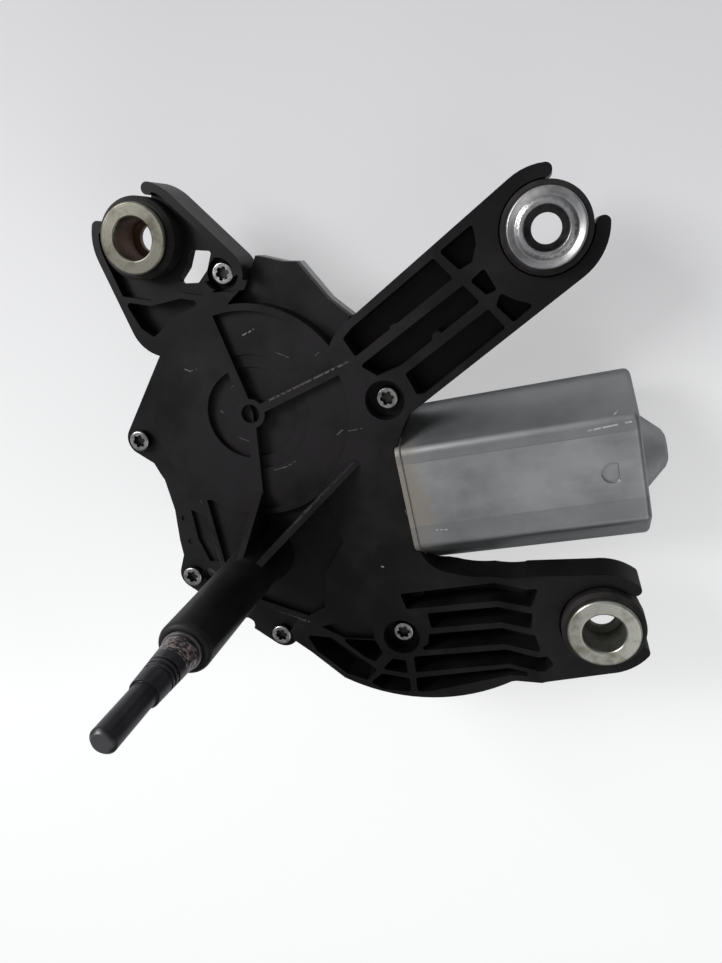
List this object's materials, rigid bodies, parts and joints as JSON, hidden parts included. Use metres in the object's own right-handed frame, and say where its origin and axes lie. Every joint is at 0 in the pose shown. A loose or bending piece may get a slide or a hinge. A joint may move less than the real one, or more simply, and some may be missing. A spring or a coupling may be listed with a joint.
{
  "type": "rear wiper motor",
  "caption": "Rear wiper motor: ribbed black gear housing with forked rubber-bushed eyes, a long spindle in a sleeve, and a flat-sided steel motor can.",
  "frame": {"origin": "on the spindle's axis, at the shoulder where the plain threaded end begins", "axes": "+Z out along the spindle away from the housing; +X along the motor's shaft towards the closed end of its can"},
  "size_m": [0.2032, 0.2132, 0.163],
  "materials": {
    "housing": "semi-matte black moulding",
    "back_case": "cast, dull",
    "can": "plated, satin",
    "spindle": "black oxide, satin",
    "steel": "machined",
    "zinc_bush": "turned, yellow zinc",
    "bright_bush": "turned, bright",
    "rubber": "matte",
    "screw_zinc": "bright zinc",
    "bronze": "sintered, oiled",
    "brass": "stamped",
    "copper": "lacquered wire",
    "nylon": "natural nylon",
    "dark_plastic": "moulded",
    "ferrite": "sintered, matte",
    "carbon": "pressed carbon",
    "lamination": "stacked sheet",
    "gasket": "cut sheet"
  },
  "bodies": {
    "motor_unit": {"gear_housing": "housing", "spindle_bush_inner": "bronze", "spindle_bush_outer": "bronze", "spindle_seal": "rubber", "back_case": "back_case", "case_gasket": "gasket", "wheel_axle": "steel", "axle_clip": "steel", "motor_can": "can", "can_screws": "screw_zinc", "field_magnets": "ferrite", "rear_bearing": "bronze", "front_bearing": "bronze", "tail_bearing": "bronze", "brush_plate": "dark_plastic", "carbon_brushes": "carbon", "brush_springs": "steel", "contact_carrier": "dark_plastic", "contact_springs": "brass", "connector_shroud": "dark_plastic", "connector_terminals": "brass", "left_bush": "zinc_bush", "left_grommet": "rubber", "top_bush": "bright_bush", "top_grommet": "rubber", "lower_bush": "zinc_bush", "lower_grommet": "rubber", "case_screws": "screw_zinc"},
    "wheel": {"worm_wheel": "nylon", "crank_pin": "steel", "park_disc": "brass"},
    "armature": {"armature_shaft": "steel", "armature_core": "lamination", "armature_windings": "copper", "commutator": "copper"},
    "spindle": {"output_spindle": "spindle", "spindle_pinion": "steel", "spindle_clip": "steel", "spindle_washer": "nylon"},
    "strap": {"link_strap": "steel"},
    "link": {"toothed_link": "steel", "link_pivot_pin": "steel"}
  },
  "joints": [
    {"name": "wheel_spin", "type": "hinge", "parent": "motor_unit", "child": "wheel", "pos_m": [0.00909, 0.0566, -0.1185], "axis": [0, 0, 1], "continuous": true},
    {"name": "armature_spin", "type": "hinge", "parent": "motor_unit", "child": "armature", "pos_m": [0.1, 0.0145, -0.1185], "axis": [1, 0, 0], "continuous": true},
    {"name": "wiper_sweep", "type": "hinge", "parent": "motor_unit", "child": "spindle", "pos_m": [0, 0, 0], "axis": [0, 0, 1], "range_deg": [-65, 65]},
    {"name": "strap_swing", "type": "hinge", "parent": "motor_unit", "child": "strap", "pos_m": [0, 0, -0.104], "axis": [0, 0, 1], "range_deg": [-22, 22]},
    {"name": "link_hinge", "type": "hinge", "parent": "strap", "child": "link", "pos_m": [0.02464, 0.00905, -0.108], "axis": [0, 0, 1], "range_deg": [-22, 22]}
  ],
  "couplings": [
    {"joint": "wheel_spin", "follows": "armature_spin", "ratio": -0.020833},
    {"joint": "strap_swing", "follows": "wiper_sweep", "ratio": 0.33333},
    {"joint": "link_hinge", "follows": "wiper_sweep", "ratio": -0.33333}
  ]
}
